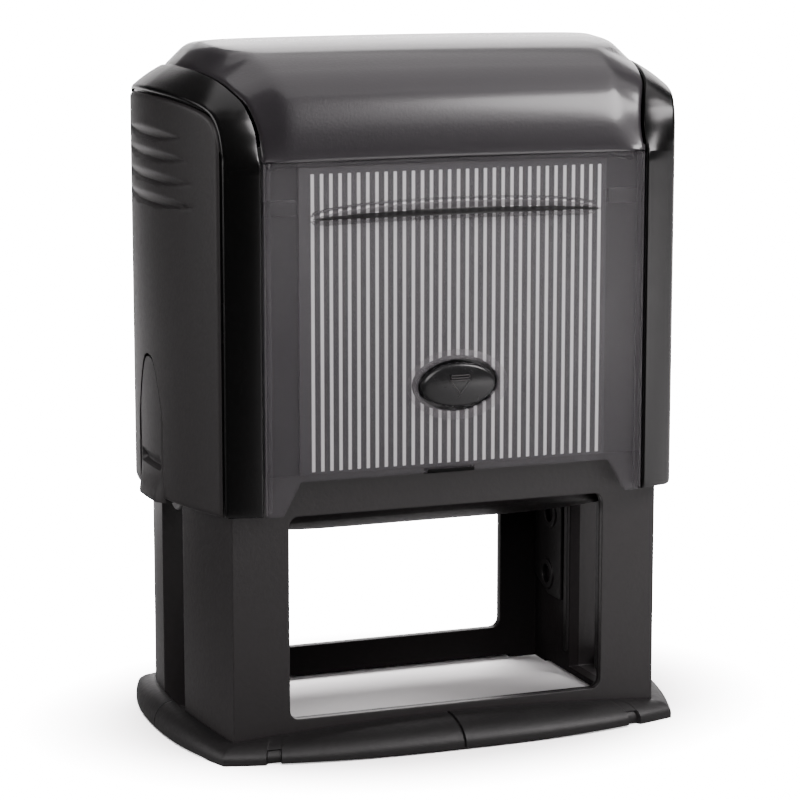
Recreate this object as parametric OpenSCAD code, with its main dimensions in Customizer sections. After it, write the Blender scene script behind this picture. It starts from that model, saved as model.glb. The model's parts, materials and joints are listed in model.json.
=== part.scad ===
// Self-inking office stamp: a cap that is pressed down over a black frame,
// carrying a text die that turns over from the ink pad to the paper.
// Units mm. Origin: centre of the base on the desk. +Z up, front towards -Y.

/* [Foot] */
// Half width of the foot at its corners
foot_corner_x = 36.3; // [30:0.1:45]
// Half depth of the foot at its corners
foot_corner_y = 23.0; // [18:0.1:30]
// Extra width in the middle of the short sides
foot_bow_x = 3.9; // [1:0.1:6]
// Extra depth in the middle of the long sides
foot_bow_y = 4.6; // [1:0.1:6]
// Height of the seam with the tower at the corners
foot_seam_low = 2.7; // [1.5:0.1:5]
// Height of the seam in the middle of a side
foot_seam_high = 4.1; // [2:0.1:6]
// Thickness of the lip that touches the desk
foot_lip = 0.7; // [0.4:0.1:1.5]
// Height of the gap under the sides, between the four feet
foot_arch = 0.5; // [0.2:0.1:1]

/* [Tower] */
// Half width of the tower at its corners
tower_x = 33.95; // [28:0.05:42]
// Half depth of the tower
tower_y = 20.7; // [16:0.1:28]
// Extra width in the middle of the short walls
tower_bow = 3.15; // [1:0.05:5]
// Height of the tower
tower_top = 62.0; // [50:0.5:64]
// Half width of the cabin inside
cabin_x = 31.6; // [28:0.1:34]
// Half depth of the cabin inside
cabin_y = 19.2; // [16:0.1:22]
// Half width of the front and back windows
window_x = 25.2; // [20:0.1:30]
// Height of the lower window edge
window_low = 5.3; // [4:0.1:10]
// Height of the upper window edge
window_high = 36.0; // [30:0.5:40]
// Width of the guide slots in the short walls
slot_width = 11.0; // [8:0.5:14]
// Height where the guide slots begin
slot_low = 1.4; // [1:0.1:4]

/* [Ink pad] */
// Height of the inked face above the desk
pad_face_z = 47.9; // [46:0.1:52]
// Thickness of the pad
pad_thick = 3.6; // [2:0.1:5]
// Height of the seat the springs stand on
seat_z = 54.0; // [50:0.5:58]

/* [Cap] */
// Height of the lower cap edge when the stamp is at rest
cap_low = 37.0; // [34:0.5:42]
// Half width of the cap at its corners
cap_corner_x = 35.2; // [30:0.1:42]
// Half depth of the cap at its corners
cap_corner_y = 22.3; // [18:0.1:28]
// Extra width in the middle of the side panels
cap_bow = 5.1; // [2:0.1:7]
// Half depth of the flat front
front_y = 24.2; // [20:0.1:30]
// Half width of the flat front
front_x = 29.9; // [24:0.1:36]
// Height where the front turns into the dome
dome_low = 88.2; // [80:0.1:92]
// Height of the highest point
dome_top = 105.0; // [98:0.1:112]
// How much the dome falls away towards its sides
dome_crown = 1.4; // [0.4:0.1:3]
// Width of the glossy band between cover and side panel
band_width = 5.3; // [3:0.1:8]
// Wall thickness of the clear cover
cover_wall = 1.2; // [0.8:0.1:2]
// Thickness of the side panels
panel_thick = 1.2; // [0.8:0.1:2]
// Height of the cover edge between its two legs
cover_low = 41.9; // [38:0.1:46]
// Height of the underside of the bridge that the springs push
bridge_z = 96.0; // [94:0.5:97]

/* [Lock buttons] */
// Height of the lock button centres
lock_z = 54.6; // [48:0.1:60]
// Half width of a lock button
lock_x = 5.9; // [4:0.1:8]
// Half height of a lock button
lock_h = 3.2; // [2:0.1:5]
// Gap around a lock button
lock_gap = 0.5; // [0.3:0.05:1]

/* [Side latches] */
// Height of the latch tip
latch_tip = 57.7; // [50:0.1:64]
// Half width of a latch
latch_half = 5.9; // [4:0.1:8]

/* [Die] */
// Height of the turning axis at rest
pivot_z = 38.4; // [34:0.1:42]
// Distance from the axis to the printing face
die_face = 7.2; // [6:0.1:9]
// Half length of the die holder
holder_x = 30.4; // [26:0.1:31]
// Half depth of the die holder
holder_y = 17.0; // [12:0.1:18]
// Distance from the axis to the deepest point of the holder
holder_belly = 8.5; // [6:0.1:10]
// Rise of the belly of the die holder towards both ends
holder_rise = 3.4; // [1:0.1:4.5]
// Half depth of the rubber text die
die_y = 15.8; // [10:0.1:17]
// Radius of the axle pins
pin_r = 2.2; // [1.5:0.1:3]

/* [Hidden] */
round_fn = 96;
arc_fn = 360;
spring_x = 20;
spring_r = 5.5;
spring_wire = 0.5;
spring_turns = 8;
arm_in = 33.5;
arm_out = 36.4;
web_in = 21.3;
web_out = 22.1;
stations = [-24.2, -23.8, -23.3, -22.8, -22.3, -21.6, -20.8, -19.8, -18.4, -16.6, -14.6, -12.4,
    -9.6, -6.4, -3.2, 0, 3.2, 6.4, 9.6, 12.4, 14.6, 16.6, 18.4, 19.8, 20.8, 21.6, 22.3, 22.8,
    23.3, 23.8, 24.2];

// ---------- shared shapes ----------

// Radius of an arc over a half chord with a given rise
function arc_radius(half, rise) = (half * half + rise * rise) / (2 * rise);

// Rise lost at a distance from the middle of such an arc
function arc_drop(half, rise, at) =
    arc_radius(half, rise) - sqrt(pow(arc_radius(half, rise), 2) - min(at * at, half * half));

// Outline of the cap side at depth y
function side_x(y) =
    abs(y) <= cap_corner_y
        ? cap_corner_x + cap_bow - arc_drop(cap_corner_y, cap_bow, y)
        : cap_corner_x - (cap_corner_x - front_x) * (abs(y) - cap_corner_y)
            / (front_y - cap_corner_y);

// Seam between the glossy band and the cover at depth y
function seam_x(y) = abs(y) <= cap_corner_y ? side_x(y) - band_width : front_x;

// Height of the outer edge of the band
function edge_z(y) = lookup(abs(y), [[0, 97.3], [8, 97.1], [13.7, 96.4], [17.8, 95.6],
    [19.6, 94.8], [21.05, 93.1], [22.4, 90.1], [front_y, dome_low]]);

// Height of the seam between band and cover
function seam_z(y) = lookup(abs(y), [[0, 100.7], [9.4, 100.2], [15.6, 98.7], [19.6, 96.4],
    [21.05, 94.2], [22.6, 90.6], [front_y, dome_low]]);

// Height of the dome along its centre line
function dome_z(y) = lookup(abs(y), [[0, dome_top], [6.5, 104.6], [11, 103.7], [13.5, 102.9],
    [17, 101.3], [19.4, 99.5], [21.4, 97], [22.8, 94.2], [23.7, 91], [front_y, dome_low + 0.3]]);

// Rectangle with bowed sides, given by its corners and the rise of each side
module bowed_plan(cx, cy, bx, by) {
    intersection_for (s = [-1, 1])
        intersection() {
            square([2 * (cx + bx), 2 * (cy + by)], center = true);
            if (by > 0)
                translate([0, s * (arc_radius(cx, by) - cy - by)])
                    circle(r = arc_radius(cx, by), $fn = arc_fn);
            if (bx > 0)
                translate([s * (arc_radius(cy, bx) - cx - bx), 0])
                    circle(r = arc_radius(cy, bx), $fn = arc_fn);
        }
}

module bowed_prism(cx, cy, bx, by, z0, z1) {
    translate([0, 0, z0])
        linear_extrude(z1 - z0)
            bowed_plan(cx, cy, bx, by);
}

// Thin moulded skin kept at its drawn size
module skin() {
    resize([0, 0, 0])
        children();
}

// Box from two corners
module span(x0, x1, y0, y1, z0, z1) {
    translate([x0, y0, z0])
        cube([x1 - x0, y1 - y0, z1 - z0]);
}

// Closed solid through a row of sections with the same number of points
module loft(sections) {
    m = len(sections[0]);
    n = len(sections);
    points = [for (c = sections) for (p = c) p];
    faces = concat(
        [[for (i = [m - 1:-1:0]) i]],
        [[for (i = [0:m - 1]) (n - 1) * m + i]],
        [for (j = [0:n - 2])
            for (i = [0:m - 1])
                [j * m + i, j * m + (i + 1) % m, (j + 1) * m + (i + 1) % m, (j + 1) * m + i]]);
    polyhedron(points, faces, convexity = 6);
}

// Half section of the cover at depth y, from the lower edge to the middle of the dome
function cover_half(y, d) =
    let (mx = seam_x(y) - 0.05 - d,
         taper = max(0.06, min(1, (front_y - abs(y)) / 3.2)),
         hx = mx - 4.1 * taper,
         crown = dome_crown * taper,
         top = dome_z(y) - d)
    concat(
        [[mx, cap_low - (d > 0 ? 1 : 0)], [mx, seam_z(y) - d]],
        [for (i = [0:3])
            let (u = 1 - i / 4)
            [hx * u, top - crown * u * u]]);

function cover_section(y, d) =
    let (h = cover_half(y, d),
         v = y * (front_y - d) / front_y)
    concat(
        [for (p = h) [p[0], v, p[1]]],
        [[0, v, dome_z(y) - d]],
        [for (i = [len(h) - 1:-1:0]) [-h[i][0], v, h[i][1]]]);

// Outer shape of the clear cover, made smaller on all sides by d
module cover_solid(d) {
    loft([for (y = stations) cover_section(y, d)]);
}

// Inner face of the cap side at depth y
function shell_x(y) = 34.6 + 3.3 - arc_drop(web_in, 3.3, y);

// One side of the dark cap body with its glossy band
module cap_side() {
    ys = concat(
        [-24.1, -23.2, -22.3, -21.7],
        [for (y = stations) if (abs(y) < 21.61) y],
        [21.7, 22.3, 23.2, 24.1]);
    loft([for (y = ys)
        let (post = abs(y) > 21.65,
             sx = side_x(y),
             ox = post ? sx - 0.02 : sx - panel_thick - 0.05,
             mx = seam_x(y) + 0.05,
             ix = post ? mx : min(shell_x(y), ox - 0.35),
             z = edge_z(y))
        [[ox, y, cap_low], [ox, y, z - 0.9], [sx, y, z - 0.85], [sx, y, z],
         [mx, y, seam_z(y)], [mx, y, z - 1.0], [ix, y, z - 1.1], [ix, y, cap_low]]]);
}

// Oval prism along Y
module oval(rx, rz, y0, y1) {
    translate([0, y1, lock_z])
        rotate([90, 0, 0])
            scale([1, rz / rx, 1])
                cylinder(r = rx, h = y1 - y0, $fn = 40);
}

// Prism with the outline of the side latch, s = 1 right and -1 left
module latch_prism(s, grow, x0, x1) {
    w = latch_half + grow;
    translate([s > 0 ? x0 : -x1, 0, 0])
        rotate([90, 0, 90])
            linear_extrude(x1 - x0)
                polygon([[-w, 36.3 - grow], [w, 36.3 - grow], [w, latch_tip - 9],
                    [w * 0.72, latch_tip - 5], [w * 0.36, latch_tip - 1.8], [0, latch_tip + grow],
                    [-w * 0.36, latch_tip - 1.8], [-w * 0.72, latch_tip - 5],
                    [-w, latch_tip - 9]]);
}

// ---------- frame ----------

// Points of the foot outline and of the tower outline, matched one to one
function side_points(cx, cy, bx, by, n) = concat(
    [for (i = [0:n - 1]) let (x = cx * (2 * i / n - 1)) [x, -cy - by + bow_at(cx, by, x)]],
    [for (i = [0:n - 1]) let (y = cy * (2 * i / n - 1)) [cx + bx - bow_at(cy, bx, y), y]],
    [for (i = [0:n - 1]) let (x = cx * (1 - 2 * i / n)) [x, cy + by - bow_at(cx, by, x)]],
    [for (i = [0:n - 1]) let (y = cy * (1 - 2 * i / n)) [-cx - bx + bow_at(cy, bx, y), y]]);

function bow_at(half, rise, at) = rise > 0 ? arc_drop(half, rise, at) : 0;

module foot_solid() {
    n = 14;
    k = 7;
    outer = side_points(foot_corner_x, foot_corner_y, foot_bow_x, foot_bow_y, n);
    inner = side_points(tower_x - 0.1, tower_y - 0.1, tower_bow, 0, n);
    m = len(outer);
    seam = [for (i = [0:m - 1])
        let (u = 2 * (i % n) / n - 1)
        foot_seam_low + (foot_seam_high - foot_seam_low) * (1 - u * u)];
    rings = concat(
        [for (p = outer) [p[0], p[1], 0]],
        [for (j = [0:k])
            for (i = [0:m - 1])
                let (a = 90 * j / k)
                [inner[i][0] + (outer[i][0] - inner[i][0]) * cos(a),
                 inner[i][1] + (outer[i][1] - inner[i][1]) * cos(a),
                 foot_lip + (seam[i] - foot_lip) * sin(a)]],
        [[0, 0, foot_seam_low]]);
    faces = concat(
        [[for (i = [0:m - 1]) i]],
        [for (j = [0:k])
            for (i = [0:m - 1])
                [j * m + i, (j + 1) * m + i, (j + 1) * m + (i + 1) % m, j * m + (i + 1) % m]],
        [for (i = [0:m - 1]) [(k + 1) * m + i, (k + 2) * m, (k + 1) * m + (i + 1) % m]]);
    polyhedron(rings, faces, convexity = 4);
}

module foot_skirt() {
    color([0.22, 0.21, 0.215])
        difference() {
            foot_solid();
            bowed_prism(tower_x, tower_y, tower_bow, 0, -1, 6);
            for (s = [-1, 1]) {
                // small notches in the long sides
                for (t = [-1, 1])
                    span(t * 29.3 - 1, t * 29.3 + 1, s > 0 ? 24.2 : -30, s > 0 ? 30 : -24.2,
                        -1, 1.5);
                // parting grooves in the middle of each side
                span(-0.15, 0.15, s > 0 ? 26.4 : -30, s > 0 ? 30 : -26.4, -1, 6);
                span(s > 0 ? 39 : -42, s > 0 ? 42 : -39, -0.15, 0.15, -1, 6);
                // gaps between the four feet
                span(-27, 27, s > 0 ? 15 : -30, s > 0 ? 30 : -15, -1, foot_arch);
                span(s > 0 ? 30 : -45, s > 0 ? 45 : -30, -15, 15, -1, foot_arch);
            }
        }
}

module frame_tower() {
    color([0.17, 0.17, 0.175])
        difference() {
            bowed_prism(tower_x, tower_y, tower_bow, 0, 0, tower_top);
            // cabin
            span(-cabin_x, cabin_x, -cabin_y, cabin_y, -1, tower_top + 1);
            // windows front and back with rounded corners
            for (x = [-1, 1])
                for (z = [window_low + 1.5, window_high - 1.5])
                    translate([x * (window_x - 1.5), 40, z])
                        rotate([90, 0, 0])
                            cylinder(r = 1.5, h = 80, $fn = round_fn);
            span(-window_x, window_x, -40, 40, window_low + 1.5, window_high - 1.5);
            span(-window_x + 1.5, window_x - 1.5, -40, 40, window_low, window_high);
            // guide slots for the carrier arms
            span(-45, 45, -slot_width / 2, slot_width / 2, slot_low, tower_top + 1);
            // slit above each window
            span(-4, 4, -40, 40, 41.1, 41.9);
            // pockets behind the lock buttons
            oval(8, 5.3, -40, 40);
            // gaps between the four feet
            span(-27, 27, -40, 40, -1, foot_arch);
            span(-45, 45, -15, 15, -1, foot_arch);
        }
}

// Guide plate on the inner side wall, s = 1 right and -1 left
module guide_plate(s) {
    x0 = cabin_x - 0.5;
    mirror([s > 0 ? 0 : 1, 0, 0])
        union() {
            difference() {
                union() {
                    // rails beside the slot
                    span(x0, cabin_x, 5.5, 6.7, 4, 48);
                    span(x0, cabin_x, -6.7, -5.5, 4, 48);
                    // raised plates behind the bosses
                    for (t = [-1, 1])
                        translate([x0, 0, 0])
                            rotate([90, 0, 90])
                                linear_extrude(0.5)
                                    polygon([[t * 8, 12], [t * 13, 12], [t * 18.6, 14.5],
                                        [t * 18.6, 28], [t * 17.6, 29], [t * 8, 29]]);
                    // ring bosses
                    for (t = [-1, 1])
                        for (p = [[12.3, 25.8], [13.2, 15.4]])
                            translate([cabin_x - 0.8, t * p[0], p[1]])
                                rotate([0, 90, 0])
                                    cylinder(r = 2.5, h = 0.8, $fn = round_fn);
                    // stop rib above the bosses
                    for (t = [-1, 1])
                        span(x0, cabin_x, t > 0 ? 8 : -18.6, t > 0 ? 18.6 : -8, 33.4, 34.4);
                }
                for (t = [-1, 1])
                    for (p = [[12.3, 25.8], [13.2, 15.4]])
                        translate([cabin_x - 2, t * p[0], p[1]])
                            rotate([0, 90, 0])
                                cylinder(r = 1.5, h = 4, $fn = round_fn);
            }
        }
}

module guide_plate_left() {
    color([0.2, 0.2, 0.2])
        guide_plate(-1);
}

module guide_plate_right() {
    color([0.2, 0.2, 0.2])
        guide_plate(1);
}

module pad_tray() {
    color([0.12, 0.12, 0.125])
        difference() {
            span(-cabin_x, cabin_x, -cabin_y, cabin_y, pad_face_z + 1.2, seat_z);
            span(-30.4, 30.4, -17.6, 17.6, pad_face_z - 1, pad_face_z + pad_thick);
            // cups under the springs
            for (s = [-1, 1])
                translate([s * spring_x, 0, seat_z - 0.6])
                    difference() {
                        cylinder(r = spring_r + 1.2, h = 2, $fn = round_fn);
                        translate([0, 0, -1])
                            cylinder(r = spring_r - 1.4, h = 4, $fn = round_fn);
                    }
            // finger hole for lifting the pad out
            translate([0, 0, pad_face_z])
                cylinder(r = 5, h = 20, $fn = round_fn);
        }
}

module ink_pad() {
    color([0.1, 0.11, 0.2])
        span(-30.2, 30.2, -17.4, 17.4, pad_face_z, pad_face_z + pad_thick - 0.01);
}

// Coil spring between the pad tray and the bridge of the cap
module coil(s) {
    turns = spring_turns;
    per = 18;
    sides = 6;
    z0 = seat_z - 0.6 + spring_wire;
    z1 = bridge_z - spring_wire - 0.1;
    n = turns * per;
    points = concat(
        [for (i = [0:n])
            for (k = [0:sides - 1])
                let (a = 360 * i / per,
                     u = i / n,
                     z = z0 + (z1 - z0) * u,
                     r = spring_r + spring_wire * cos(360 * k / sides))
                [r * cos(a), r * sin(a), z + spring_wire * sin(360 * k / sides)]]);
    faces = concat(
        [[for (k = [sides - 1:-1:0]) k]],
        [[for (k = [0:sides - 1]) n * sides + k]],
        [for (i = [0:n - 1])
            for (k = [0:sides - 1])
                [i * sides + k, i * sides + (k + 1) % sides,
                 (i + 1) * sides + (k + 1) % sides, (i + 1) * sides + k]]);
    translate([s * spring_x, 0, 0])
        polyhedron(points, faces, convexity = 10);
}

module return_spring_left() {
    color([0.6, 0.6, 0.62])
        coil(-1);
}

module return_spring_right() {
    color([0.6, 0.6, 0.62])
        coil(1);
}

// ---------- cap ----------

module cap_body() {
    color([0.08, 0.08, 0.085])
        skin()
            difference() {
                union() {
                    for (s = [0, 1])
                        mirror([s, 0, 0])
                            cap_side();
                    // webs behind the index cards and the bridge over the springs
                    span(-33, 33, -web_out, -web_in, 42.4, 90);
                    span(-33, 33, web_in, web_out, 42.4, 90);
                    span(-35.5, 35.5, -15, 15, bridge_z, bridge_z + 1.4);
                }
                // room for the top of the tower when the cap is down
                span(-34.4, 34.4, -21.1, 21.1, 60, tower_top + 31.6);
                for (s = [-1, 1])
                    latch_prism(s, 0.4, 36, 45);
                oval(lock_x + 2.3, lock_h + 2.3, -30, 30);
            }
}

// Matte side panel with four crescent grips
module side_panel(s) {
    skin()
        mirror([s > 0 ? 0 : 1, 0, 0])
            difference() {
                loft([for (y = stations)
                    if (abs(y) < 21.61)
                        let (x = side_x(y), z = edge_z(y) - 0.95)
                        [[x, y, cap_low], [x, y, z], [x - panel_thick, y, z],
                         [x - panel_thick, y, cap_low]]]);
                latch_prism(1, 0.4, 30, 45);
                for (g = [[91.3, 12.6], [88.2, 14.7], [84.9, 15.7], [81.6, 16.4]])
                    grip(g[0], g[1]);
            }
}

// Crescent cut that follows the bowed side
module grip(z, half) {
    loft([for (i = [-8:8])
        let (y = half * i / 8,
             w = 0.15 + 0.95 * (1 - i * i / 64),
             x = side_x(y),
             t = 0.1 + 0.5 * (1 - i * i / 64))
        [[x + 1, y, z - w], [x + 1, y, z + w], [x - t, y, z + w * 0.3], [x - t, y, z - w * 0.3]]]);
}

// Lens used for finger grooves, unit sized
module crescent() {
    rotate_extrude($fn = 28)
        polygon([[0, -1], [0.6, -0.75], [0.88, -0.38], [1, 0], [0.88, 0.38], [0.6, 0.75], [0, 1]]);
}

module side_panel_left() {
    color([0.26, 0.255, 0.25])
        side_panel(-1);
}

module side_panel_right() {
    color([0.26, 0.255, 0.25])
        side_panel(1);
}

// Clear cover: front and back panes joined by the dome
module index_cover() {
    color([0.42, 0.41, 0.43, 0.6])
        skin()
            difference() {
                union() {
                    difference() {
                        cover_solid(0);
                        cover_solid(cover_wall);
                    }
                    // raised rim around each lock button
                    for (s = [-1, 1])
                        oval(lock_x + 1.7, lock_h + 1.7, s > 0 ? front_y - 1 : -front_y - 0.5,
                            s > 0 ? front_y + 0.5 : -front_y + 1);
                }
                // open edge between the legs
                translate([0, 40, 0])
                    rotate([90, 0, 0])
                        linear_extrude(80)
                            polygon([[-27.6, 30], [27.6, 30], [24.6, cover_low],
                                [-24.6, cover_low]]);
                span(-45, 45, -22.1, 22.1, 30, tower_top + 31.6);
                // room for the bridge
                span(-45, 45, -15.2, 15.2, 80, bridge_z + 1.6);
                oval(lock_x + lock_gap, lock_h + lock_gap, -40, 40);
                // finger groove in both panes
                for (s = [-1, 1])
                    translate([0, s * (front_y + 0.15), 80.9])
                        scale([22.3, 0.9, 1.9])
                            rotate([90, 0, 0])
                                crescent();
            }
}

module index_card(s) {
    y0 = s > 0 ? web_out + 0.1 : -web_out - 0.6;
    difference() {
        span(-24.2, 24.2, y0, y0 + 0.5, 42.6, 87.4);
        oval(lock_x + 2, lock_h + 2, -30, 30);
    }
}

module index_card_front() {
    color([0.72, 0.7, 0.71])
        index_card(-1);
}

module index_card_back() {
    color([0.72, 0.7, 0.71])
        index_card(1);
}

// Arm that carries the die, from the bridge down through the guide slot
module carrier_arm(s) {
    mirror([s > 0 ? 0 : 1, 0, 0])
        difference() {
            union() {
                span(arm_in, arm_out, -4.5, 4.5, pivot_z, bridge_z);
                translate([arm_in, 0, pivot_z])
                    rotate([0, 90, 0])
                        cylinder(r = 4.5, h = arm_out - arm_in, $fn = round_fn);
                // outer rib
                span(arm_out - 0.2, arm_out + 0.7, -2, 2, pivot_z + 8, bridge_z);
            }
            translate([arm_in - 1, 0, pivot_z])
                rotate([0, 90, 0])
                    cylinder(r = pin_r + 0.3, h = 6, $fn = round_fn);
        }
}

module carrier_arm_left() {
    color([0.45, 0.45, 0.46])
        carrier_arm(-1);
}

module carrier_arm_right() {
    color([0.45, 0.45, 0.46])
        carrier_arm(1);
}

// Oval lock button with a domed face and a flange behind the cover
module lock_button(s) {
    mirror([0, s > 0 ? 1 : 0, 0])
        union() {
            difference() {
                union() {
                    oval(lock_x, lock_h, -front_y - 0.1, -21.4);
                    translate([0, -front_y - 0.1, lock_z])
                        scale([lock_x, 0.5, lock_h])
                            rotate([90, 0, 0])
                                crescent();
                    oval(lock_x + 1.5, lock_h + 1.5, -22.7, -21.4);
                }
                // engraved bar and arrow
                span(-1.5, 1.5, -26, -front_y - 0.25, lock_z + 0.9, lock_z + 1.3);
                translate([0, -front_y - 0.25, lock_z])
                    rotate([90, 0, 0])
                        linear_extrude(2)
                            polygon([[-1.4, 0.5], [1.4, 0.5], [0, -1.3]]);
            }
        }
}

module lock_button_front() {
    color([0.06, 0.06, 0.065])
        lock_button(-1);
}

module lock_button_back() {
    color([0.06, 0.06, 0.065])
        lock_button(1);
}

// Springy tongue in the side panel
module side_latch(s) {
    intersection() {
        latch_prism(s, 0, 30, 45);
        difference() {
            union() {
                bowed_prism(cap_corner_x, cap_corner_y, cap_bow, 0, 36, 60);
                // tab under the slit
                bowed_prism(cap_corner_x + 0.25, cap_corner_y, cap_bow, 0, 36, 40.9);
            }
            bowed_prism(cap_corner_x - 1.3, cap_corner_y, cap_bow, 0, 30, 70);
            // finger slit
            for (t = [-1, 1])
                span(t > 0 ? 39.6 : -45, t > 0 ? 45 : -39.6, -4.6, 4.6, 41.2, 42.6);
        }
    }
}

module side_latch_left() {
    color([0.25, 0.245, 0.24])
        side_latch(-1);
}

module side_latch_right() {
    color([0.25, 0.245, 0.24])
        side_latch(1);
}

// ---------- die ----------

module die_holder() {
    color([0.14, 0.14, 0.145])
        difference() {
            intersection() {
                // section across the axis, with a rounded belly
                translate([-holder_x, 0, pivot_z])
                    rotate([90, 0, 90])
                        linear_extrude(2 * holder_x)
                            intersection() {
                                translate([-holder_y, -holder_belly])
                                    square([2 * holder_y, holder_belly + 5.2]);
                                translate([0, arc_radius(holder_y, 5.5) - holder_belly])
                                    circle(r = arc_radius(holder_y, 5.5), $fn = arc_fn);
                            }
                // belly also falls away towards both ends
                translate([0, 40, pivot_z - holder_belly + arc_radius(holder_x, holder_rise)])
                    rotate([90, 0, 0])
                        cylinder(r = arc_radius(holder_x, holder_rise), h = 80, $fn = arc_fn);
            }
            // bearing holes for the axle pins
            for (s = [-1, 1])
                translate([s > 0 ? holder_x - 5 : -holder_x - 1, 0, pivot_z])
                    rotate([0, 90, 0])
                        cylinder(r = pin_r, h = 6, $fn = round_fn);
        }
}

module die_cushion() {
    color([0.5, 0.5, 0.5])
        span(-29.8, 29.8, -die_y, die_y, pivot_z + 5.2, pivot_z + 6);
}

// Rubber die with plain raised lines in place of lettering
module text_die() {
    color([0.45, 0.2, 0.16])
        union() {
            span(-29.6, 29.6, -die_y, die_y, pivot_z + 6, pivot_z + 6.5);
            for (i = [0:4])
                span(-26 + 2 * (i % 2), 26 - 3 * (i % 2), 5.5 * i - 12.2, 5.5 * i - 9.8,
                    pivot_z + 6.4, pivot_z + die_face);
        }
}

// Axle pin pressed into one end of the holder
module axle_pin(s) {
    translate([s > 0 ? holder_x - 5 : -arm_out - 0.2, 0, pivot_z])
        rotate([0, 90, 0])
            cylinder(r = pin_r, h = arm_out + 0.2 - holder_x + 5, $fn = round_fn);
}

module axle_pin_left() {
    color([0.7, 0.7, 0.72])
        axle_pin(-1);
}

module axle_pin_right() {
    color([0.7, 0.7, 0.72])
        axle_pin(1);
}

foot_skirt();
frame_tower();
guide_plate_left();
guide_plate_right();
pad_tray();
ink_pad();
return_spring_left();
return_spring_right();
cap_body();
side_panel_left();
side_panel_right();
index_cover();
index_card_front();
index_card_back();
carrier_arm_left();
carrier_arm_right();
lock_button_front();
lock_button_back();
side_latch_left();
side_latch_right();
die_holder();
die_cushion();
text_die();
axle_pin_left();
axle_pin_right();
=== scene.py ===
import json
import math

import bmesh
import bpy
import numpy as np
from mathutils import Matrix, Vector

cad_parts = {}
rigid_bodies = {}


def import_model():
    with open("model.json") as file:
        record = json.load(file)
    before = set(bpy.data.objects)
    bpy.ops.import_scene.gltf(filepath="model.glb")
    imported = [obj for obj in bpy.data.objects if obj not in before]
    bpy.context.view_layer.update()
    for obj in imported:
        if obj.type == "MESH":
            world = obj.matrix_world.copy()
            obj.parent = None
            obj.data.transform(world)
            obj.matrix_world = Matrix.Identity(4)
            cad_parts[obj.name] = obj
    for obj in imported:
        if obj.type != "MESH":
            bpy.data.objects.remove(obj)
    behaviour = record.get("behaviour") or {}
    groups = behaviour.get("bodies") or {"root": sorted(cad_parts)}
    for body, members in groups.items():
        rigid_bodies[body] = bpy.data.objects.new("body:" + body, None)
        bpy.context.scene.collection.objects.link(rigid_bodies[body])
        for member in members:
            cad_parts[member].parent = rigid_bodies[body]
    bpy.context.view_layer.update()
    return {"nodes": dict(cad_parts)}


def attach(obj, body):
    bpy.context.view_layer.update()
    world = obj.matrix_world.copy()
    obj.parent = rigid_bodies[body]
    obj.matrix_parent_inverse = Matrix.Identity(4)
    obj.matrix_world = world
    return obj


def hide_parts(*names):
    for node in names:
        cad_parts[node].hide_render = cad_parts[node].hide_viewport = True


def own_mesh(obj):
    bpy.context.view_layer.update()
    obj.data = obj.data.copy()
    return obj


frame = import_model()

MM = 0.001


# ---------- numbers shared with the CAD, in millimetres ----------

CAP_X, CAP_Y, CAP_BOW = 35.6, 22.7, 4.7
FRONT_X, FRONT_Y = 30.1, 24.5
CAP_LOW, PANE_TOP, COVER_LOW = 37.0, 88.2, 41.9
BAND = 5.5
LOCK_Z, LOCK_X, LOCK_H = 54.8, 5.95, 3.3
FOOT_X, FOOT_Y, FOOT_BX, FOOT_BY = 36.3, 23.0, 3.9, 4.6
TOWER_X, TOWER_Y, TOWER_BOW = 33.95, 20.7, 3.15

# matching points of the centre line, the cover seam and the panel edge, as (y, z)
KEYS = np.array([
    [-24.5, 88.2, -24.5, 88.2, -22.7, 87.8],
    [-24.3, 90.3, -24.0, 88.9, -22.7, 89.6],
    [-23.6, 93.2, -23.2, 90.6, -22.5, 91.5],
    [-22.5, 95.8, -22.5, 92.7, -22.0, 93.2],
    [-21.2, 98.0, -21.6, 94.7, -21.2, 94.6],
    [-19.3, 99.9, -20.1, 96.9, -19.8, 95.7],
    [-16.9, 101.4, -17.2, 98.7, -17.2, 96.5],
    [-13.2, 102.9, -13.2, 100.0, -13.2, 97.15],
    [-7.6, 104.3, -7.6, 100.8, -7.6, 97.6],
    [0.0, 104.95, 0.0, 101.1, 0.0, 97.8],
])


def side_x(y):
    """Half width of the cap at depth y."""
    r = (CAP_Y ** 2 + CAP_BOW ** 2) / (2 * CAP_BOW)
    a = abs(y)
    if a <= CAP_Y:
        return CAP_X + CAP_BOW - (r - math.sqrt(r * r - a * a))
    return CAP_X - (CAP_X - FRONT_X) * (a - CAP_Y) / (FRONT_Y - CAP_Y)


def smooth(t):
    t = min(1.0, max(0.0, t))
    return t * t * (3 - 2 * t)


def seam_x(y):
    """Half width of the cover at depth y."""
    a = abs(y)
    if a >= CAP_Y:
        return FRONT_X
    return side_x(a) - BAND + 0.6 * smooth((CAP_Y - a) / 5.0)


def spline(keys, per):
    """Catmull-Rom through the rows of keys, per steps a span."""
    k = np.vstack([2 * keys[0] - keys[1], keys, 2 * keys[-1] - keys[-2]])
    out = []
    for i in range(1, len(k) - 2):
        for j in range(per):
            t = j / per
            out.append(0.5 * (2 * k[i] + (k[i + 1] - k[i - 1]) * t
                              + (2 * k[i - 1] - 5 * k[i] + 4 * k[i + 1] - k[i + 2]) * t ** 2
                              + (3 * k[i] - k[i - 1] - 3 * k[i + 1] + k[i + 2]) * t ** 3))
    out.append(keys[-1])
    return np.array(out)


ARC = spline(KEYS, 7)
# crease between the top plate of the dome and its front slope
ARC[:, 1] += 0.3 * np.maximum(0.0, 1 - np.abs(np.abs(ARC[:, 0]) - 12.7) / 4.6)


# ---------- mesh helpers ----------

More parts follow.
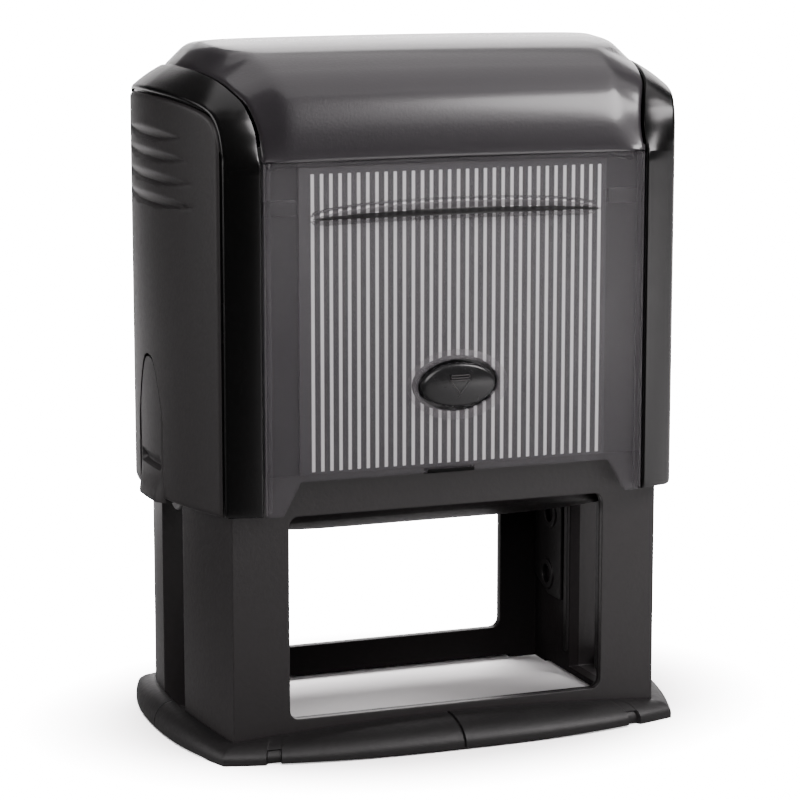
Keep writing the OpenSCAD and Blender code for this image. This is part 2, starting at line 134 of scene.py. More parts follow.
def make(name, verts, faces, angle=32):
    """Mesh object from millimetre vertices."""
    me = bpy.data.meshes.new(name)
    me.from_pydata([tuple(float(c) * MM for c in v) for v in verts], [], faces)
    me.update()
    bm = bmesh.new()
    bm.from_mesh(me)
    bmesh.ops.remove_doubles(bm, verts=bm.verts, dist=1e-6)
    bmesh.ops.recalc_face_normals(bm, faces=bm.faces)
    bm.to_mesh(me)
    bm.free()
    ob = bpy.data.objects.new(name, me)
    bpy.context.scene.collection.objects.link(ob)
    shade(ob, angle)
    return ob


def shade(ob, angle=32):
    for p in ob.data.polygons:
        p.use_smooth = True
    ob.data.set_sharp_from_angle(angle=math.radians(angle))


def grid_faces(rows, cols, wrap_r=False, wrap_c=False):
    out = []
    for i in range(rows if wrap_r else rows - 1):
        for j in range(cols if wrap_c else cols - 1):
            a, b = i * cols + j, i * cols + (j + 1) % cols
            c, d = ((i + 1) % rows) * cols + (j + 1) % cols, ((i + 1) % rows) * cols + j
            out.append((a, b, c, d))
    return out


def bake(ob, angle=32):
    """Applies the modifiers of an object."""
    bpy.context.view_layer.update()
    ev = ob.evaluated_get(bpy.context.evaluated_depsgraph_get())
    me = bpy.data.meshes.new_from_object(ev)
    ob.modifiers.clear()
    ob.data = me
    shade(ob, angle)
    return ob


def cut(ob, tools, operation="DIFFERENCE", angle=32):
    for t in tools:
        m = ob.modifiers.new("cut", "BOOLEAN")
        m.operation = operation
        m.solver = "MANIFOLD"
        m.object = t
    bake(ob, angle)
    for t in tools:
        bpy.data.objects.remove(t, do_unlink=True)
    return ob


def thicken(ob, mm, angle=32):
    m = ob.modifiers.new("wall", "SOLIDIFY")
    m.thickness = mm * MM
    m.offset = -1
    m.use_even_offset = False
    return bake(ob, angle)


def flip_to(ob, probe):
    """Turns the faces so that those near the probe point look away from the object's middle."""
    me = ob.data
    centre = Vector((0, 0, 0.07))
    best = min(me.polygons, key=lambda p: (p.center - Vector(probe) * MM).length)
    if best.normal.dot(best.center - centre) < 0:
        me.flip_normals()
    return ob


def prism(name, outline, axis, a, b):
    """Prism of a closed outline of (u, v) pairs; axis x has (y, z) pairs, axis y has (x, z)."""
    n = len(outline)
    if axis == "x":
        vs = [(a, u, v) for u, v in outline] + [(b, u, v) for u, v in outline]
    else:
        vs = [(u, a, v) for u, v in outline] + [(u, b, v) for u, v in outline]
    fs = [tuple(range(n - 1, -1, -1)), tuple(range(n, 2 * n))]
    fs += [(i, (i + 1) % n, n + (i + 1) % n, n + i) for i in range(n)]
    return make(name, vs, fs, 30)


def slab(name, lo, hi, r=0.25, seg=3):
    """Box between two corners with rounded edges."""
    vs = [(x, y, z) for x in (lo[0], hi[0]) for y in (lo[1], hi[1]) for z in (lo[2], hi[2])]
    fs = [(0, 1, 3, 2), (4, 6, 7, 5), (0, 4, 5, 1), (2, 3, 7, 6), (0, 2, 6, 4), (1, 5, 7, 3)]
    ob = make(name, vs, fs)
    bm = bmesh.new()
    bm.from_mesh(ob.data)
    bmesh.ops.bevel(bm, geom=bm.edges[:], offset=r * MM, segments=seg, affect="EDGES", profile=0.5)
    bm.to_mesh(ob.data)
    bm.free()
    shade(ob, 40)
    return ob


def join(name, obs):
    """Joins meshes that share one material."""
    bm = bmesh.new()
    for o in obs:
        bm.from_mesh(o.data)
    me = bpy.data.meshes.new(name)
    bm.to_mesh(me)
    bm.free()
    for o in obs:
        bpy.data.objects.remove(o, do_unlink=True)
    ob = bpy.data.objects.new(name, me)
    bpy.context.scene.collection.objects.link(ob)
    return ob


def mirrored(ob, name, axes):
    """Copy mirrored in the given axes."""
    me = ob.data.copy()
    s = [-1 if a in axes else 1 for a in "xyz"]
    me.transform(Matrix.Diagonal((*s, 1)))
    if s[0] * s[1] * s[2] < 0:
        me.flip_normals()
    new = bpy.data.objects.new(name, me)
    bpy.context.scene.collection.objects.link(new)
    return new


def ellipse(rx, rz, n=96, zc=LOCK_Z):
    return [(rx * math.cos(2 * math.pi * i / n), zc + rz * math.sin(2 * math.pi * i / n))
            for i in range(n)]


# ---------- materials ----------

def calc(nt, kind, a, b=None):
    """Math node on a socket and a second socket or number."""
    n = nt.nodes.new("ShaderNodeMath")
    n.operation = kind
    nt.links.new(a, n.inputs[0])
    if isinstance(b, float):
        n.inputs[1].default_value = b
    elif b:
        nt.links.new(b, n.inputs[1])
    return n.outputs[0]


def ramp(nt, socket, start, end, lo=0.0, hi=1.0):
    """Smooth change from lo to hi while the socket goes from start to end."""
    n = nt.nodes.new("ShaderNodeMapRange")
    n.interpolation_type = "SMOOTHSTEP"
    n.inputs["From Min"].default_value = start
    n.inputs["From Max"].default_value = end
    n.inputs["To Min"].default_value = lo
    n.inputs["To Max"].default_value = hi
    nt.links.new(socket, n.inputs["Value"])
    return n.outputs["Result"]


def material(name, color, rough, *, grain=0.0, grain_scale=900.0, tint=0.08, rough_var=0.06,
             spec=0.5, metallic=0.0, alpha=1.0, coat=0.0, coat_rough=0.15, rounding=0.0,
             core=None):
    """Plastic, rubber or metal with fine grain, slow colour variation and uneven roughness.

    rounding softens the edges in the shading, in mm. core gives the half sizes x, y in mm of a
    hollow inside, where the plastic is matte.
    """
    m = bpy.data.materials.new(name)
    m.use_nodes = True
    nt = m.node_tree
    b = nt.nodes["Principled BSDF"]
    b.inputs["Roughness"].default_value = rough
    b.inputs["Metallic"].default_value = metallic
    b.inputs["Specular IOR Level"].default_value = spec
    b.inputs["Alpha"].default_value = alpha
    b.inputs["Coat Weight"].default_value = coat
    b.inputs["Coat Roughness"].default_value = coat_rough
    tc = nt.nodes.new("ShaderNodeTexCoord")
    if core:
        sep = nt.nodes.new("ShaderNodeSeparateXYZ")
        nt.links.new(tc.outputs["Object"], sep.inputs["Vector"])
        within = [calc(nt, "LESS_THAN", calc(nt, "ABSOLUTE", sep.outputs[axis]), half * MM)
                  for axis, half in zip("XY", core)]
        gloss = nt.nodes.new("ShaderNodeMapRange")
        gloss.inputs["To Min"].default_value = spec
        gloss.inputs["To Max"].default_value = 0.08
        nt.links.new(calc(nt, "MULTIPLY", *within), gloss.inputs["Value"])
        nt.links.new(gloss.outputs["Result"], b.inputs["Specular IOR Level"])
    slow = nt.nodes.new("ShaderNodeTexNoise")
    slow.inputs["Scale"].default_value = 60.0
    slow.inputs["Detail"].default_value = 5
    nt.links.new(tc.outputs["Object"], slow.inputs["Vector"])
    mix = nt.nodes.new("ShaderNodeMix")
    mix.data_type = "RGBA"
    lo = [max(0.0, c * (1 - tint)) for c in color]
    hi = [min(1.0, c * (1 + tint)) for c in color]
    mix.inputs["A"].default_value = (*lo, 1)
    mix.inputs["B"].default_value = (*hi, 1)
    nt.links.new(slow.outputs["Fac"], mix.inputs["Factor"])
    nt.links.new(mix.outputs["Result"], b.inputs["Base Color"])
    fine = nt.nodes.new("ShaderNodeTexNoise")
    fine.inputs["Scale"].default_value = grain_scale
    fine.inputs["Detail"].default_value = 3
    nt.links.new(tc.outputs["Object"], fine.inputs["Vector"])
    rr = nt.nodes.new("ShaderNodeMapRange")
    rr.inputs["To Min"].default_value = max(0.02, rough - rough_var)
    rr.inputs["To Max"].default_value = min(1.0, rough + rough_var)
    nt.links.new(fine.outputs["Fac"], rr.inputs["Value"])
    nt.links.new(rr.outputs["Result"], b.inputs["Roughness"])
    if rounding:
        soft = nt.nodes.new("ShaderNodeBevel")
        soft.samples = 6
        soft.inputs["Radius"].default_value = rounding * MM
        nt.links.new(soft.outputs["Normal"], b.inputs["Normal"])
    if grain:
        bump = nt.nodes.new("ShaderNodeBump")
        bump.inputs["Strength"].default_value = grain
        bump.inputs["Distance"].default_value = 0.0002
        nt.links.new(fine.outputs["Fac"], bump.inputs["Height"])
        if rounding:
            nt.links.new(soft.outputs["Normal"], bump.inputs["Normal"])
        nt.links.new(bump.outputs["Normal"], b.inputs["Normal"])
    return m


def card_material():
    """Dark card printed with thin light stripes."""
    pitch, shift = 1.41 * MM, 0.45 * MM
    half_x, mid_z, half_z = 23.3, 64.7 * MM, 21.7
    line, blur = 0.175, 0.06
    m = material("card", (0.03, 0.028, 0.031), 0.6, grain=0.1)
    nt = m.node_tree
    b = nt.nodes["Principled BSDF"]
    base = b.inputs["Base Color"].links[0].from_socket
    tc = next(n for n in nt.nodes if n.type == "TEX_COORD")
    xyz = nt.nodes.new("ShaderNodeSeparateXYZ")
    nt.links.new(tc.outputs["Object"], xyz.inputs["Vector"])
    x = calc(nt, "SUBTRACT", xyz.outputs["X"], shift)
    turn = calc(nt, "FRACT", calc(nt, "ADD", calc(nt, "DIVIDE", x, pitch), 40.5))
    off_line = calc(nt, "ABSOLUTE", calc(nt, "SUBTRACT", turn, 0.5))
    off_x = calc(nt, "ABSOLUTE", x)
    off_z = calc(nt, "ABSOLUTE", calc(nt, "SUBTRACT", xyz.outputs["Z"], mid_z))
    ink = ramp(nt, off_line, line - blur, line + blur, 1.0, 0.0)
    wide = ramp(nt, off_x, (half_x - 0.02) * MM, (half_x + 0.02) * MM, 1.0, 0.0)
    tall = ramp(nt, off_z, (half_z - 0.05) * MM, (half_z + 0.05) * MM, 1.0, 0.0)
    mix = nt.nodes.new("ShaderNodeMix")
    mix.data_type = "RGBA"
    mix.inputs["B"].default_value = (0.95, 0.94, 0.95, 1)
    printed = calc(nt, "MULTIPLY", calc(nt, "MULTIPLY", ink, wide), tall)
    nt.links.new(printed, mix.inputs["Factor"])
    nt.links.new(base, mix.inputs["A"])
    nt.links.new(mix.outputs["Result"], b.inputs["Base Color"])
    return m


M = {
    "tower": material("tower_plastic", (0.0125, 0.0108, 0.0112), 0.42, grain=0.15, grain_scale=1400,
                      rounding=0.3, core=(33.4, 19.9)),
    "guide": material("guide_plastic", (0.008, 0.007, 0.0073), 0.4, grain=0.15, spec=0.3),
    "foot": material("foot_plastic", (0.0052, 0.0046, 0.0048), 0.52, grain=0.25, grain_scale=1100),
    "gloss": material("band_gloss", (0.003, 0.003, 0.0031), 0.24, grain=0.03, grain_scale=300,
                      rough_var=0.04, spec=0.45),
    "panel": material("panel_matte", (0.012, 0.0105, 0.0108), 0.5, grain=0.1, grain_scale=1800),
    "inside": material("inside_dark", (0.006, 0.006, 0.0065), 0.5, grain=0.1),
    "roof": material("roof_grey", (0.03, 0.027, 0.031), 0.6, grain=0.4, grain_scale=2400),
    "cover": material("smoke_cover", (0.05, 0.044, 0.052), 0.3, grain=0.03, grain_scale=2200,
                      rough_var=0.05, alpha=0.22, tint=0.05, coat=0.9, coat_rough=0.12),
    # painted shade and painted highlight on the cover: black for the groove's up-facing ledge, pale grey
    # for its down-facing slope and the pane's side edges
    "ledge": material("groove_ledge_painted_shade", (0.002, 0.002, 0.002), 0.4, grain=0.02, alpha=0.92),
    "lip": material("cover_painted_highlight", (0.16, 0.15, 0.16), 0.22, grain=0.02, alpha=0.7),
    "dome": material("smoke_dome", (0.032, 0.028, 0.033), 0.38, grain=0.12, grain_scale=2600,
                     rough_var=0.06, alpha=0.9, tint=0.05, coat=0.8, coat_rough=0.16),
    "rim": material("clear_rim", (0.3, 0.28, 0.3), 0.2, grain=0.02, alpha=0.1, tint=0.05),
    "mark": material("mark_grey", (0.035, 0.032, 0.033), 0.4, grain=0.05),
    "button": material("button_gloss", (0.008, 0.008, 0.0085), 0.25, grain=0.06),
    "arm": material("arm_grey", (0.12, 0.12, 0.122), 0.45, grain=0.15),
    "ink": material("ink_felt", (0.012, 0.013, 0.03), 0.85, grain=0.9, grain_scale=2600, tint=0.3),
    "steel": material("spring_steel", (0.56, 0.56, 0.58), 0.28, metallic=1.0, grain=0.05),
    "rubber": material("die_rubber", (0.14, 0.045, 0.035), 0.6, grain=0.3),
    "foam": material("cushion", (0.3, 0.3, 0.3), 0.75, grain=0.5, grain_scale=2400),
    # painted shade: black strip that stands for the shaded finger-nail slot
    "slot": material("slot_painted_shade", (0.002, 0.002, 0.002), 0.7, grain=0.1, spec=0.1),
    "card": card_material(),
}


def dress(ob, mat, body, slot=None, *nodes):
    """Gives a piece its material and body, and hides the CAD nodes it stands for; the slot argument is
    not used.
    """
    ob.data.materials.clear()
    ob.data.materials.append(M[mat])
    if body:
        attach(ob, body)
    if nodes:
        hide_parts(*nodes)
    return ob


# ---------- cover ----------

def cover():
    """Front pane with its finger groove, the folded dome, and the lining under the dome."""
    u_in = [0, .05, .1, .15, .2, .25, .3, .35, .4, .45, .5, .55, .6, .65, .69, .72, .745, .76,
            .77, .775, .78, .79, .8, .82, .838, .845, .85, .855, .86, .87, .885, .90, .915, .93,
            .94, .945, .955, .965, .975, .985, 1.0]
    w_in = [.06, .12, .2, .3, .45, .6, .75, .85, .9, .93, .95, .965, .98, .99, 1.0]

    soft = 1.1

    def columns(hx, mx):
        half = [hx * u for u in u_in] + [hx + (mx - hx) * w for w in w_in]
        return [-v for v in half[:0:-1]] + half

    mx0 = FRONT_X - 0.25
    pane_cols = columns(mx0 - 1.3, mx0)

    def z_low(x):
        a = abs(x)
        z = COVER_LOW - (COVER_LOW - CAP_LOW) * smooth((a - 24.4) / 2.9)
        if a < 27.2:
            z = COVER_LOW - (COVER_LOW - CAP_LOW) * min(1, max(0, (a - 24.5) / 2.75))
        if a > mx0 - 0.7:
            z += 0.7 * (1 - math.sqrt(max(0, 1 - ((a - mx0 + 0.7) / 0.7) ** 2)))
        return z

    def groove(x, z):
        """Finger groove: slopes in from its arched top edge, ends in a ledge at the bottom."""
        if abs(x) >= 22.5:
            return 0
        tall = 2.1 * (1 - (x / 22.5) ** 2) ** 0.6
        v = (79.9 + tall - z) / tall
        if not 0 < v < 1:
            return 0
        deep = 1.0 * min(1, 1.3 * (1 - (x / 22.5) ** 2) ** 0.5)
        return deep * smooth(v / 0.55) * (1 - smooth((v - 0.55) / 0.45))

    def edge_roll(x):
        t = max(0.0, abs(x) - mx0 + 0.6) / 0.6
        return 0.45 * (1 - math.sqrt(max(0.0, 1 - t * t)))

    zs = [0, .006, .015, .05, .1, .2, .3, .4, .5, .6, .68, .73, .76]
    zs += [(z - COVER_LOW) / (PANE_TOP - COVER_LOW) for z in np.arange(79.5, 82.3, 0.11)]
    zs += [.91, .93, .95, .965, .98, .988, .993, .997, 1.0]
    zs = sorted(zs)
    rows = []
    for s in zs:
        row = []
        for x in pane_cols:
            z = z_low(x) + s * (PANE_TOP - z_low(x))
            row.append((x, -FRONT_Y + groove(x, z) + edge_roll(x), z))
        rows.append(row)
    # dome rows from front to middle, then mirrored
    dome = []
    for yc, zc, ys, zs_, _, _ in ARC:
        mx = seam_x(ys) - 0.25
        if abs(yc) < 12.7:
            hx = 32.3 - 4.4 * (abs(yc) / 12.7) ** 4
        else:
            hx = 27.9 - 1.9 * smooth((abs(yc) - 12.7) / 9.5)
        full = 0.5 * (mx - hx + math.sqrt((mx - hx) ** 2 + soft ** 2))
        row = []
        for x in columns(hx, mx):
            a = abs(x)
            w = 0.5 * (a - hx + math.sqrt((a - hx) ** 2 + soft ** 2)) / full
            roll = 0.3 * max(0.0, (a - mx + 0.5) / 0.5) ** 2
            z = zc + (zs_ - zc) * w - 0.25 * (x / mx) ** 2 * (1 - w)
            row.append((x, yc + (ys - yc) * w + roll * 0.5, z - roll * 0.7))
        dome.append(row)
    front_row = rows[-1]
    # the lining stays above the top of the tower when the cap is down
    inner = [[(x * 0.96, y * 0.95, max(z - 1.22, 94.6 if abs(y) < 23.0 else 0)) for x, y, z in r]
             for r in dome[3:]]
    inner = inner + [[(x, -y, z) for x, y, z in r] for r in inner[-2::-1]]
    lining = make("cap_lining", [p for r in inner for p in r], grid_faces(len(inner), len(inner[0])), 30)
    flip_to(lining, (0, 0, 105))
    thicken(lining, 0.8, 30)
    lift = [[(x, y, z + 0.3 * (1 - min(1, k / 6.0))) for x, y, z in r]
            for k, r in enumerate(dome)]
    cols = len(front_row)
    pane = make("pane_front", [p for r in rows for p in r], grid_faces(len(rows), cols), 24)
    flip_to(pane, (0, -FRONT_Y, 65))
    thicken(pane, 1.15, 24)
    hole = prism("hole", ellipse(LOCK_X + 0.55, LOCK_H + 0.55), "y", -40, 40)
    cut(pane, [hole], angle=24)
    under = [(x, y + 0.2, z - 0.1) for x, y, z in lift[0]]
    rows = [under, [(x, y + 0.05, z) for x, y, z in lift[0]]] + lift[1:]
    rows = rows + [[(x, -y, z) for x, y, z in r] for r in rows[-2::-1]]
    dome_ob = make("cover_dome", [p for r in rows for p in r], grid_faces(len(rows), cols), 24)
    flip_to(dome_ob, (0, 0, 105))
    thicken(dome_ob, 1.15, 24)
    return pane, dome_ob, lining


def rim(s):
    """Raised ring moulded around the lock button."""
    n = 96
    prof = [(0.55, -0.9), (0.55, 0.25), (0.62, 0.42), (0.8, 0.52), (1.0, 0.5), (1.25, 0.36),
            (1.55, 0.14), (1.8, 0.02), (1.9, -0.06), (1.9, -0.9)]
    vs = []
    for i in range(n):
        t = 2 * math.pi * i / n
        for g, h in prof:
            vs.append(((LOCK_X + g) * math.cos(t), s * (FRONT_Y + h),
                       LOCK_Z + (LOCK_H + g) * math.sin(t)))
    return make("rim", vs, grid_faces(n, len(prof), wrap_r=True, wrap_c=True), 50)


pane, dome_ob, lining = cover()
back = mirrored(pane, "pane_back", "xy")
dress(back, "cover", "cap", "smoke_clear")
dress(pane, "cover", "cap", "smoke_clear", "index_cover")
for ob in (pane, back):
    # painted shade and highlight: the up-facing ledge of the finger groove is painted black, the
    # down-facing slope above it pale
    ob.data.materials.append(M["ledge"])
    ob.data.materials.append(M["lip"])
    for p in ob.data.polygons:
        c, n = p.center / MM, p.normal
        if 79.7 < c.z < 82.1 and abs(c.x) < 22.6 and abs(c.y) > FRONT_Y - 1.1:
            out = n.y if c.y > 0 else -n.y
            if out > 0 and n.z > 0.18:
                p.material_index = 1
            elif out > 0 and n.z < -0.12:
                p.material_index = 2
        # painted highlight: a pale strip along the pane's side edges
        elif abs(c.x) > FRONT_X - 0.47 and abs(c.y) > FRONT_Y - 0.5:
            p.material_index = 2
dress(dome_ob, "dome", "cap", "smoke_clear", "index_cover")
for s, nm in ((-1, "rim_front"), (1, "rim_back")):
    r = rim(s)
    r.name = nm
    dress(r, "rim", "cap", "smoke_clear")


for s, nm in ((-1, "release_slot_front"), (1, "release_slot_back")):
    # painted shade: a black strip under the middle of the pane stands for the shaded inside of the small
    # slot for a finger nail
    t = slab(nm, (s * 1.2 - 3.7, s * FRONT_Y - 0.2, COVER_LOW), (s * 1.2 + 3.7, s * FRONT_Y + 0.2,
                                                             COVER_LOW + 0.5), 0.1)
    dress(t, "slot", "cap", "smoke_clear")


# ---------- glossy bands ----------

def band(sx):
    """Glossy band: a strip swept between the cover's seam and the edge of the side panel."""
    low = [(-FRONT_Y, z, -CAP_Y, z) for z in (37.0, 37.08, 37.3, 37.7, 38.5, 40, 45, 50, 55, 60, 65,
                                          70, 75, 80, 84, 86.5)]
    path = low + [(a[2], a[3], a[4], a[5]) for a in ARC]
    path = path + [(-a, b, -c, d) for a, b, c, d in path[-2::-1]]
    path = np.array(path)
    n = len(path)
    tang = np.gradient(path, axis=0)
    rows = []
    for i in range(n):
        ys, zs, ye, ze = path[i]
        xs = seam_x(ys) + 0.2
        p0 = np.array([xs, ys, zs])
        p1 = np.array([side_x(ye), ye, ze])
        t = np.array([0, tang[i][0] + tang[i][2], tang[i][1] + tang[i][3]])
        t /= np.linalg.norm(t)
        d = p1 - p0
        length = np.linalg.norm(d)
        d /= length
        nrm = np.cross(d, t)
        nrm /= np.linalg.norm(nrm)
        if nrm[0] < 0:
            nrm = -nrm
        te = np.array([tang[i][2], tang[i][3]])
        te /= np.linalg.norm(te)
        g = np.array([te[1], -te[0]])
        if g @ (np.array([0, 65.0]) - np.array([ye, ze])) < 0:
            g = -g
        end = 0.5 * max(0.0, 1 - min(i, n - 1 - i) / 3.0) ** 2
        row = []
        for a, h in [(0, -1.4), (0, -0.5), (0.05, -0.2), (0.18, -0.05), (0.4, 0)]:
            row.append(p0 + d * a + nrm * (h - end))
        for f in (0.2, 0.35, 0.5, 0.65, 0.8):
            row.append(p0 + d * (0.4 + (length - 1.1) * f) + nrm * (0.14 * 4 * f * (1 - f) - end))
        for a, h in [(0.7, 0.0), (0.42, -0.03), (0.2, -0.12), (0.06, -0.3), (0, -0.55)]:
            row.append(p1 - d * a + nrm * (h - end))
        gv = np.array([0, g[0], g[1]])
        row.append(p1 + np.array([-0.62, 0, 0]) + gv * 0.02)
        row.append(p1 + np.array([-0.67, 0, 0]) + gv * 1.15)
        row.append(p1 + np.array([-1.6, 0, 0]) + gv * 1.15)
        rows.append([(sx * p[0], p[1], p[2]) for p in row])
    cols = len(rows[0])
    faces = grid_faces(n, cols, wrap_c=True)
    faces += [tuple(range(cols)), tuple(range((n - 1) * cols, n * cols))]
    return make("band", [p for r in rows for p in r], faces, 35)


for sx, nm in ((-1, "band_left"), (1, "band_right")):
    b = band(sx)
    b.name = nm
    dress(b, "gloss", "cap", "cap_gloss")


# ---------- side panels with grips and latch ----------

edge_line = np.array([(a[4], a[5]) for a in ARC])
edge_line = np.vstack([[(-CAP_Y, 80.0)], edge_line])
tangent = np.gradient(edge_line, axis=0)
tangent /= np.linalg.norm(tangent, axis=1)[:, None]
inner_line = edge_line + np.stack([tangent[:, 1], -tangent[:, 0]], 1) * 0.9


def panel_top(y):
    """Height of the panel's top edge at depth y."""
    a = -abs(y)
    order = np.argsort(inner_line[:, 0])
    return float(np.interp(a, inner_line[order, 0], inner_line[order, 1]))


def panel(sx):
    """Side panel with rolled rims and four crescent grips."""
    ys = [0, 0.8, 1.6, 2.4, 3.2, 4.0, 4.8, 5.6, 6.4, 7.2, 8, 9, 10, 11, 12, 12.8, 13.6, 14.4, 15.2,
          16, 16.8, 17.6, 18.4, 19, 19.5, 20, 20.5, 20.9, 21.2, 21.4, 21.55, 21.66, 21.73, 21.78]
    ys = [-v for v in ys[:0:-1]] + ys
    full_top = panel_top(0)
    low = [0, 0.05, 0.12, 0.25, 0.45, 0.8, 2, 4, 8, 12, 16, 20, 25, 30, 35, 38, 40, 41.5]
    offs = low + list(np.arange(42.3, 58.4, 0.28))
    offs += [full_top - CAP_LOW - t for t in (0.9, 0.45, 0.25, 0.12, 0.05, 0.0)]
    # height and half width of each grip
    grips = [(91.3, 12.6), (88.2, 14.7), (84.9, 15.7), (81.6, 16.4)]
    # above the knee the rows are squeezed under the curved top edge
    knee = 79.0
    roll = 0.5
    vs = []
    for o in offs:
        for y in ys:
            top = panel_top(y)
            z = CAP_LOW + o
            if z > knee:
                z = knee + (z - knee) * (top - knee) / (full_top - knee)
            edge = max(0.0, min(21.8 - abs(y), z - CAP_LOW, top - z))
            inset = roll - math.sqrt(max(0, roll ** 2 - (roll - edge) ** 2)) if edge < roll else 0
            dent = 0
            for grip_z, half in grips:
                if abs(y) < half:
                    w = 1.15 * (1 - (y / half) ** 2) ** 0.7
                    v = (z - grip_z) / max(w, 0.05)
                    if abs(v) < 1:
                        deep = 0.62 * (1 - (y / half) ** 2) ** 0.5
                        dent += deep * smooth((1 - v) / 1.5) * smooth((1 + v) / 0.45)
            vs.append((sx * (side_x(y) - inset - dent), y, z))
    ob = make("panel", vs, grid_faces(len(offs), len(ys)), 38)
    flip_to(ob, (sx * 40, 0, 65))
    thicken(ob, 1.15, 38)
    tool = prism("slot", latch_outline(0.45), "x", sx * 34, sx * 45)
    cut(ob, [tool], angle=38)
    return ob


def latch_outline(grow):
    """Pointed arch of the latch in (y, z), grown on all sides."""
    w = 5.9 + grow
    pts = [(-w, 36.0 - grow), (w, 36.0 - grow), (w, 48.2)]
    for k in range(1, 9):
        t = k / 9 * math.pi / 2
        pts.append((w * (1 - t / (math.pi / 2)) ** 0.75, 48.2 + (9.5 + grow) * math.sin(t)))
    pts.append((0, 57.7 + grow))
    left = [(-y, z) for y, z in pts[2:-1]]
    return pts + left[::-1]


def latch(sx):
    """Latch with a finger step at its foot."""
    ys = np.linspace(-6.4, 6.4, 41)
    zs = list(np.arange(35.6, 58.6, 0.3))
    vs = []
    for z in zs:
        for y in ys:
            x = side_x(y)
            x += 0.75 * smooth((41.0 - z) / 4.5) * (1 - smooth((abs(y) - 4.0) / 2.0))
            x -= 0.7 * smooth((z - 41.0) / 0.5) * smooth((43.4 - z) / 1.6) * \
                (1 - smooth((abs(y) - 4.4) / 0.8))
            x -= 0.45 * smooth((abs(y) - 5.2) / 0.9) ** 2
            vs.append((sx * (x - 0.1), y, z))
    ob = make("latch", vs, grid_faces(len(zs), len(ys)), 38)
    flip_to(ob, (sx * 40, 0, 50))
    thicken(ob, 1.2, 38)
    outline = [(y, max(z, 36.3)) for y, z in latch_outline(0)]
    tool = prism("shape", outline, "x", sx * 34, sx * 45)
    cut(ob, [tool], "INTERSECT", 38)
    return ob


for sx, side in ((-1, "left"), (1, "right")):
    p = panel(sx)
    p.name = "panel_" + side
    dress(p, "panel", "cap", "panel_matte", "side_panel_" + side)
    q = latch(sx)
    q.name = "latch_" + side
    dress(q, "panel", "latch_" + side, "panel_matte", "side_latch_" + side)


# ---------- inside of the cap ----------

parts = []
for s in (-1, 1):
    y0, y1 = sorted((s * 21.3, s * 22.1))
    w = slab("web", (-31, y0, 42.4), (31, y1, 90.5), 0.15)
    hole = prism("hole", ellipse(LOCK_X + 2.3, LOCK_H + 2.3), "y", -30, 30)
    cut(w, [hole])
    parts.append(w)
    for t in (-1, 1):
        # side wall ribs under the dome
        x0, x1 = sorted((t * 24.5, t * 29.3))
        y0, y1 = sorted((s * 20.9, s * 23.1))
        parts.append(slab("clip", (x0, y0, 80.5), (x1, y1, 82.7), 0.2))
webs = join("cap_webs", parts)
dress(webs, "inside", "cap", "cap_gloss", "cap_body")
dress(lining, "roof", "cap", "cap_gloss")
lining.data.materials.append(M["inside"])
for p in lining.data.polygons:
    c = p.center / MM
    if abs(c.x) > 24.3 and c.z < 96.3:
        p.material_index = 1
for s, nm in ((-1, "front"), (1, "back")):
    y0, y1 = sorted((s * 22.5, s * 23.0))
    c = slab("card_" + nm, (-24.2, y0, 42.6), (24.2, y1, 87.4), 0.08, 2)
    hole = prism("hole", ellipse(LOCK_X + 0.9, LOCK_H + 0.9), "y", -30, 30)
    cut(c, [hole])
    dress(c, "card", "cap", "index_card", "index_card_" + nm)


# ---------- lock buttons ----------

def button(s):
    """Crowned oval lock button with its flange, and the mark on it."""
    n, rings = 96, []
    for k in range(0, 15):
        f = k / 14 * 0.86
        rings.append((f, 0.1 + 0.55 * (1 - (f / 0.97) ** 2)))
    rings += [(0.90, 0.16), (0.94, 0.05), (0.97, -0.10), (0.99, -0.28), (1.0, -0.5), (1.0, -1.5)]
    vs, fs = [(0, s * (FRONT_Y + rings[0][1]), LOCK_Z)], []
    for f, h in rings[1:]:
        for i in range(n):
            t = 2 * math.pi * i / n
            vs.append((LOCK_X * f * math.cos(t), s * (FRONT_Y + h), LOCK_Z + LOCK_H * f * math.sin(t)))
    for i in range(n):
        fs.append((0, 1 + i, 1 + (i + 1) % n))
    for k in range(len(rings) - 2):
        for i in range(n):
            a = 1 + k * n
            fs.append((a + i, a + n + i, a + n + (i + 1) % n, a + (i + 1) % n))
    fs.append(tuple(1 + (len(rings) - 2) * n + i for i in range(n)))
    ob = make("button", vs, fs, 40)
    # mark: thin raised lines, a bar over a triangle pointing down
    y0, y1 = sorted((s * (FRONT_Y + 0.3), s * (FRONT_Y + 0.74)))
    corners = [(-1.55, 0.75), (1.55, 0.75), (0.0, -1.25)]
    top = [(-1.45, 1.5), (1.45, 1.5), (1.45, 1.12), (-1.45, 1.12)]
    marks = []
    for loop in (corners, top):
        for k in range(len(loop)):
            (xa, za), (xb, zb) = loop[k], loop[(k + 1) % len(loop)]
            long = math.hypot(xb - xa, zb - za)
            ux, uz = (xb - xa) / long * 0.07, (zb - za) / long * 0.07
            quad = [(xa - ux - uz, za - uz + ux), (xb + ux - uz, zb + uz + ux),
                    (xb + ux + uz, zb + uz - ux), (xa - ux + uz, za - uz - ux)]
            marks.append(prism("line", [(x, LOCK_Z + z) for x, z in quad], "y", y0, y1))
    # flange behind the cover
    y0, y1 = sorted((s * 21.4, s * 22.4))
    fl = prism("flange", ellipse(LOCK_X + 1.4, LOCK_H + 1.4), "y", y0, y1)
    return join("lock", [ob, fl]), join("mark", marks)


for s, nm in ((-1, "front"), (1, "back")):
    b, mark = button(s)
    b.name, mark.name = "button_" + nm, "mark_" + nm
    shade(b, 40)
    dress(mark, "mark", "lock_" + nm, "button_gloss")
    dress(b, "button", "lock_" + nm, "button_gloss", "lock_button_" + nm)


# ---------- foot ----------

